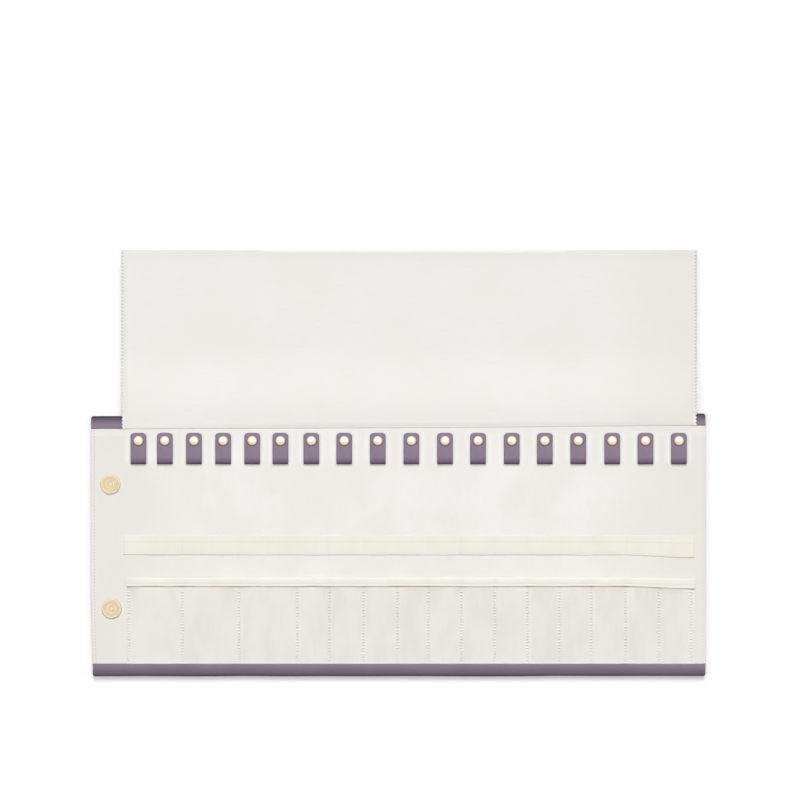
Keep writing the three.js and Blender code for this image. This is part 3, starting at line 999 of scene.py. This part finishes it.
def flap_height(x, y):
    """The middle of the flap: over the hem, down in one long slope, and flat on the table."""
    curl = 1 - eased(min(x - flap_left, flap_right - x) / curl_width)
    rest = flap_rest + flap_curl * curl + far_rise * eased((y - flap_top + far_run) / far_run)
    away = eased((y - top - slope_start) / slope_run)
    ripple = wander(x, y * 0.3, size=9 * mm, seed=21, reach=ripple_rise)
    ripple *= math.exp(-(y - hinge_end) / ripple_run)
    swell = wander(x, y, size=70 * mm, seed=22, reach=swell_rise) * away
    start = eased((y - hinge_end) / root_run)
    dip = root_dip * (1 - eased((y - hinge_end) / dip_run))
    return flap_level - dip + (rest - flap_level) * away + (ripple + swell) * start


def pinked(y, side):
    """How far the saw-toothed end steps in at y, in metres: a little more over the hem."""
    share = ((y - hinge_end - pink_first[side]) / pink_pitch) % 1
    over_hem = 1 - eased((y - top) / pink_fade)
    deep = pink_depth * (pink_shallow + (1 - pink_shallow) * over_hem)
    deep *= eased((y - hinge_y + pink_start) / pink_start_run)
    tooth = deep * (1 - abs(2 * share - 1)) ** pink_round
    return pink_over_hem * over_hem - pink_inset[side] + tooth


def pink(piece, side, inward):
    """Cuts the teeth into the flap's end at that side; other sides stay straight."""
    hair = 0.01 * mm
    for point in piece.data.vertices:
        if side is not None and abs(point.co.x - side) < hair:
            point.co.x += inward * pinked(point.co.y, side)
    return piece


def with_flap(piece, number):
    """Rides on one section of the flap, in a mesh of its own."""
    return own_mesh(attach(piece, f"flap_section_{number}"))


def root_section(x):
    """The sewn root, which rises from under the hem to the flap."""
    start = hinge_y + root_start + seam_slant(x) * seam_follow
    low, high = lining_high + root_lift, flap_height(x, hinge_end)
    path = []
    for k in range(root_steps + 1):
        share = k / root_steps
        path.append((start + (hinge_end - start) * share, low + (high - low) * share * (2 - share)))
    return ribbon(path, flap_thickness, tips=(0.5, 0))


def overlock(side, inward):
    """The zigzag of thread along a pinked end."""
    made = []
    outer_x, inner_x = side + inward * overlock_outer, side + inward * overlock_inner
    for k in range(pink_count - 1):
        y = hinge_end + k * pink_pitch
        outer_z, inner_z = (flap_height(e, y) + flap_thickness / 2 for e in (outer_x, inner_x))
        turn = (inner_x, y + pink_pitch * 0.5, inner_z)
        made += [((outer_x, y, outer_z), turn), (turn, (outer_x, y + pink_pitch, outer_z))]
    return made


flap_edges = [flap_left] + folds + [flap_right]
flap_thread = thread_finish("flap_thread", shade(246, 245, 241), shade(234, 232, 226))
for number, (start, end) in enumerate(zip(flap_edges, flap_edges[1:]), 1):
    side, inward = {1: (flap_left, 1), 4: (flap_right, -1)}.get(number, (None, 0))
    rows = pink_count if side is None else pink_count * pink_steps
    ys = [hinge_end + (flap_top - hinge_end) * k / rows for k in range(rows + 1)]
    count = max(1, round((end - start) / flap_step))
    xs = [start + (end - start) * k / count for k in range(count + 1)]

    def flap_section(x, ys=ys):
        return ribbon([(y, flap_height(x, y)) for y in ys], flap_thickness, tips=(0, 0.5))
    flap = swept(f"flap_cloth_{number}", xs, flap_section, cotton_finish, sharp=60)
    with_flap(pink(flap, side, inward), number)
    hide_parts(f"flap_{number}")
    if side is not None:
        row = sewn(f"overlock_{number}", overlock(side, inward), overlock_thread, flap_thread)
        with_flap(row, number)
    root = pink(swept(f"flap_root_{number}", xs, root_section, cotton_finish, sharp=60),
                side, inward)
    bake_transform(root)
    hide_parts(f"flap_{number}")
    end - start


# The straps: eighteen short tabs of the mauve leather, each doubled over at the bottom. The rear
# half is sewn and studded to the lining, and the front half swings down once its snap is undone.
strap_low, strap_high = strap_boxes[0]
strap_bottom, strap_top = strap_low.y, strap_high.y
strap_width = strap_high.x - strap_low.x - 0.35 * mm
strap_thickness = 0.7 * mm
strap_corner = 3.5 * mm
strap_around, side_square, face_round = 20, 0.28, 0.5
rear_level = lining_high + strap_thickness / 2
front_level = strap_high.z - strap_thickness / 2
fold_level = 3.7 * mm
rear_turn, front_turn = 2.9 * mm, 5.6 * mm
rear_steps, rear_turn_steps, front_turn_steps, front_steps = 17, 8, 12, 22
front_crowding = 0.8
cap_inset = 7.5 * mm


def off_centre(x, y):
    """How far a point lies from the middle, squared, in square millimetres."""
    return (x * x + y * y) * 1e6


strap_leather = Finish("strap_leather")
x, y, z, at = strap_leather.place()
pebble = strap_leather.pebbles(at, scale=1700)
fine = strap_leather.grain(at, scale=500, detail=4)
cloud = strap_leather.grain(at, scale=60, detail=3)
painted = x.size().share(strap_width / 2 - 0.9 * mm, strap_width / 2 - 0.25 * mm)
# Painted shade toward the doubled-over bottom, where the leather curves away from the light, darkest
# along the crease.
fold_shade = 1 - y.size().share(0.5 * mm, 7.5 * mm)
crease_shade = 1 - y.size().share(0.3 * mm, 2.2 * mm)
# A darker ring round the snap's cap: a ring pressed into the leather, with painted contact shadow that
# is strongest on its lower side.
from_cap = y - (strap_top - strap_bottom - cap_inset + 0.2 * mm)
off_cap = off_centre(x, from_cap)
pressed = off_cap.share(20, 25) * (1 - off_cap.share(27, 38))
pressed *= 1 - from_cap.share(-4 * mm, 3 * mm)
colour = strap_leather.coats(
    shade(134, 117, 136),
    (cloud.share(0.3, 0.7), shade(141, 124, 143)),
    (fine.share(0.5, 0.8) * 0.15, shade(154, 138, 156)),
    (painted * 0.75, shade(104, 88, 112)),
    (fold_shade * 0.66, shade(76, 64, 80)),
    (crease_shade * 0.8, shade(52, 38, 58)),
    (pressed * 0.7, shade(70, 54, 60)),
)
strap_finish = strap_leather.principled(
    Base_Color=colour, Roughness=0.42 + 0.12 * fine, Specular_IOR_Level=0.4,
    Normal=strap_leather.raised(pebble * 0.5 + fine * 0.5, 0.05 * mm))


def strap_line():
    """(y, z, distance from the fold) along the middle of the leather, rear end to front end."""
    line = []
    turn = strap_bottom + strap_thickness / 2
    rear_end, front_start = turn + rear_turn, turn + front_turn
    for k in range(rear_steps):
        line.append((strap_top + (rear_end - strap_top) * k / rear_steps, rear_level))
    for k in range(rear_turn_steps + 1):
        angle = math.pi / 2 * k / rear_turn_steps
        line.append((turn + rear_turn * (1 - math.sin(angle)),
                     fold_level - (fold_level - rear_level) * math.cos(angle)))
    for k in range(1, front_turn_steps + 1):
        angle = math.pi / 2 * k / front_turn_steps
        line.append((turn + front_turn * (1 - math.cos(angle)),
                     fold_level + (front_level - fold_level) * math.sin(angle)))
    for k in range(1, front_steps + 1):
        share = (k / front_steps) ** front_crowding
        line.append((front_start + (strap_top - front_start) * share, front_level))
    runs = [0]
    for a, b in zip(line, line[1:]):
        runs.append(runs[-1] + math.hypot(b[0] - a[0], b[1] - a[1]))
    at_fold = runs[rear_steps + rear_turn_steps]
    return [(y, z, run - at_fold) for (y, z), run in zip(line, runs)]


def strap_half_width(y):
    """Half the width at y: full, but for the two round corners at the top."""
    short = max(0, strap_corner - (strap_top - y))
    return strap_width / 2 - strap_corner + math.sqrt(max(strap_corner**2 - short**2, 0))


def strap_mesh(name, x):
    """A doubled tab as one strip of leather, with a rounded edge all round."""
    line = strap_line()
    points, places, faces = [], [], []
    for i, (y, z, run) in enumerate(line):
        before, after = line[max(i - 1, 0)], line[min(i + 1, len(line) - 1)]
        length = math.hypot(after[0] - before[0], after[1] - before[1])
        out = (-(after[1] - before[1]) / length, (after[0] - before[0]) / length)
        for k in range(strap_around):
            side = math.cos(math.tau * k / strap_around)
            face = math.sin(math.tau * k / strap_around)
            across = math.copysign(abs(side) ** side_square, side) * strap_half_width(y)
            up = math.copysign(abs(face) ** face_round, face) * strap_thickness / 2
            points.append((x + across, y + out[0] * up, z + out[1] * up))
            places.append((across, run, up))
    for base in range(0, len(points) - strap_around, strap_around):
        for k in range(strap_around):
            j = (k + 1) % strap_around
            faces.append((base + k, base + strap_around + k, base + strap_around + j, base + j))
    faces.append(tuple(range(strap_around)))
    faces.append(tuple(range(len(points) - strap_around, len(points)))[::-1])
    return mesh_piece(name, points, faces, strap_finish, places, sharp=60)


# The snaps: a domed cap of pale gold over a socket in the front half of each strap, and a stud
# in its rear half.
cap_radius = 4.75 * mm
cap_foot = front_level + strap_thickness / 2 + 0.1 * mm
cap_rise = 1.45 * mm
cap_rings, cap_fall = 14, 0.82
cap_profile = [(k / cap_rings, 1 - cap_fall * (k / cap_rings) ** 2) for k in range(cap_rings)]
cap_profile += [(0.975, 0.15), (1.0, 0.05), (0.985, -0.02), (0.93, -0.06)]
gold_plate = Finish("gold_plate")
x, y, z, at = gold_plate.place()
worn = gold_plate.grain(at, scale=500, detail=3)
brushed = gold_plate.grain(at, scale=1500, detail=2, stretch=(1, 0.1, 1))
# Painted shade: the dome is gold and darker on its lower side.
low_side_shade = 1 - (y + x * 0.3).share(-3.6 * mm, -0.9 * mm)
# A painted highlight, near white, a little above the centre.
painted_shine = 1 - off_centre(x, y - 1.3 * mm).share(4, 11)
# Painted shade on the rim of the dome.
rim = off_centre(x, y).share(10, 21)
# A painted contact shadow along the foot of the dome on its lower side.
foot = off_centre(x, y).share(18, 22) * (1 - y.share(-4.5 * mm, 0.5 * mm))
colour = gold_plate.coats(
    shade(246, 238, 222),
    (worn.share(0.4, 0.7) * 0.4, shade(238, 226, 204)),
    (low_side_shade * 0.75, shade(232, 196, 134)),
    (painted_shine, shade(255, 253, 248)),
    (rim * 0.85, shade(180, 150, 116)),
    (foot * 0.85, shade(88, 68, 52)),
)
cap_finish = gold_plate.principled(
    Base_Color=colour, Metallic=0.85, Roughness=0.27 + 0.08 * worn,
    Normal=gold_plate.raised(brushed, 0.006 * mm))


def turned(name, profile, finish, around=40, sharp=40, stamp=None):
    """A body turned about Z from a list of (radius, height) points, top centre first. A stamp
    says how deep its face is pressed at a radius and an angle."""
    points, faces = [(0, 0, profile[0][1])], []
    for radius, height in profile[1:]:
        for k in range(around):
            angle = math.tau * k / around
            pressed = stamp(radius, angle) if stamp else 0
            points.append((radius * math.cos(angle), radius * math.sin(angle), height - pressed))
    last = 1 + (len(profile) - 2) * around
    for k in range(around):
        j = (k + 1) % around
        faces.append((0, 1 + k, 1 + j))
        for base in range(1, last, around):
            faces.append((base + k, base + around + k, base + around + j, base + j))
    faces.append(tuple(range(last, last + around))[::-1])
    return mesh_piece(name, points, faces, finish, sharp=sharp)


snap_shapes = {}
for name, profile in (
    ("cap", [(r * cap_radius, h * cap_rise) for r, h in cap_profile]),
    ("socket", [(0, 0), (2.6 * mm, 0), (3.2 * mm, -0.15 * mm), (3.2 * mm, -0.55 * mm),
                (2.9 * mm, -0.7 * mm), (1.9 * mm, -0.7 * mm)]),
    ("stud", [(0, 0.65 * mm), (1.2 * mm, 0.62 * mm), (1.55 * mm, 0.4 * mm),
              (1.3 * mm, 0.12 * mm), (2.8 * mm, 0.05 * mm), (3.0 * mm, -0.1 * mm)]),
):
    snap_shapes[name] = turned(name, profile, cap_finish)


def snap_part(shape, number, place, body):
    """One piece of a snap, that rides the body it is riveted to."""
    piece = bpy.data.objects.new(f"{shape}_{number:02d}", snap_shapes[shape].data)
    piece.location = place
    bpy.context.collection.objects.link(piece)
    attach(piece, body)
    return piece


for number, x in enumerate(strap_xs, 1):
    panel = f"panel_{1 + sum(x > fold for fold in folds)}"
    arm = f"snap_strap_{number:02d}"
    strap = strap_mesh(f"tab_{number:02d}", x)
    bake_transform(strap)
    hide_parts(f"strap_{number:02d}")
    snap_y = strap_top - cap_inset
    cap = snap_part("cap", number, (x, snap_y, cap_foot), arm)
    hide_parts(f"snap_cap_{number:02d}")
    socket = snap_part("socket", number, (x, snap_y, front_level - strap_thickness / 2), arm)
    stud = snap_part("stud", number, (x, snap_y, rear_level + strap_thickness / 2), panel)
for shape in snap_shapes.values():
    bpy.data.objects.remove(shape)


# The closing magnets: two pale gold discs riveted to the left end, each stamped with plain rings
# and a reeded band, and two bare steel magnets sewn in under the lining of the third panel.
disc_reeds, reed_depth = 44, 0.16 * mm
reed_inner, reed_outer = 4.9 * mm, 7.4 * mm
groove_depth = 0.2 * mm
ring_grooves = [(2.6 * mm, 0.32 * mm), (4.4 * mm, 0.26 * mm), (7.9 * mm, 0.3 * mm)]
rim_height, rim_start, rim_run = 0.25 * mm, 1.5 * mm, 0.6 * mm
disc_rings, disc_sink = 44, 0.5 * mm
disc_edge = [(0.5 * mm, 0.14 * mm), (0.2 * mm, 0.4 * mm), (0, 0.9 * mm)]
disc_flat, disc_foot = 0.9 * mm, 0.3 * mm
disc_shift = {"upper": Vector((0, 0, 0)), "lower": Vector((1.2 * mm, 0.5 * mm, 0))}
disc_gold = Finish("disc_gold")
x, y, z, at = disc_gold.place()
worn = disc_gold.grain(at, scale=260, detail=3)
speck = disc_gold.grain(at, scale=1400, detail=3)
radius = (x * x + y * y).root()
rings = (radius * (math.tau / (4.05 * mm)) + math.pi / 2).wave() * 0.5 + 0.5
# Painted shade on the lower parts of the face, in the pressed grooves.
groove_shade = 1 - z.share(1.15 * mm, 1.45 * mm)
# Painted shade on the lower side of the disc's rim.
lower_rim_shade = off_centre(x, y).share(70, 88) * (1 - y.share(-9 * mm, 2 * mm))
colour = disc_gold.coats(
    shade(238, 214, 171),
    (rings * 0.65 + worn * 0.35, shade(255, 249, 230)),
    (worn.share(0.45, 0.7) * 0.5, shade(228, 202, 158)),
    (groove_shade * 0.7, shade(196, 164, 112)),
    (lower_rim_shade * 0.4, shade(170, 142, 104)),
)
disc_finish = disc_gold.principled(
    Base_Color=colour, Metallic=0.35, Roughness=0.5 + 0.1 * worn,
    Normal=disc_gold.raised(speck, 0.008 * mm))


def disc_stamp(radius, angle):
    """How deep the ring grooves and the band of reeds are pressed, in metres."""
    deep = 0
    for ring, width in ring_grooves:
        off = abs(radius - ring) / width
        deep += groove_depth * max(0, 1 - off * off)
    if reed_inner < radius < reed_outer:
        band = math.sin(math.pi * (radius - reed_inner) / (reed_outer - reed_inner))
        deep += reed_depth * band * (0.5 + 0.5 * math.cos(disc_reeds * angle)) ** 2
    return deep


for spot in ("upper", "lower"):
    low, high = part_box(f"magnet_disc_{spot}")
    full_radius, full_height = (high.x - low.x) / 2, high.z - low.z
    profile = []
    for k in range(disc_rings + 1):
        radius = (full_radius - disc_flat) * k / disc_rings
        rim = rim_height * eased((radius - full_radius + rim_start) / rim_run)
        profile.append((radius, full_height - rim_height + rim))
    profile += [(full_radius - inset, full_height - drop) for inset, drop in disc_edge]
    profile.append((full_radius - disc_foot, 0))
    disc = turned(f"gold_disc_{spot}", profile, disc_finish, disc_reeds * 6, 60, disc_stamp)
    centre = (low + high) / 2
    disc.location = Vector((centre.x, centre.y, low.z - disc_sink)) + disc_shift[spot]
    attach(disc, "panel_1")
    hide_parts(f"magnet_disc_{spot}")

bare_steel = Finish("bare_steel")
at = bare_steel.node("TexCoord", output=3)
cast = bare_steel.grain(at, scale=800, detail=3)
steel_finish = bare_steel.principled(
    Base_Color=bare_steel.coats(shade(120, 120, 124), (cast, shade(150, 150, 154))),
    Metallic=1.0, Roughness=0.4 + 0.2 * cast)
for spot in ("upper", "lower"):
    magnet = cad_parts[f"hidden_magnet_{spot}"]
    magnet.data.materials.clear()
    magnet.data.materials.append(steel_finish)
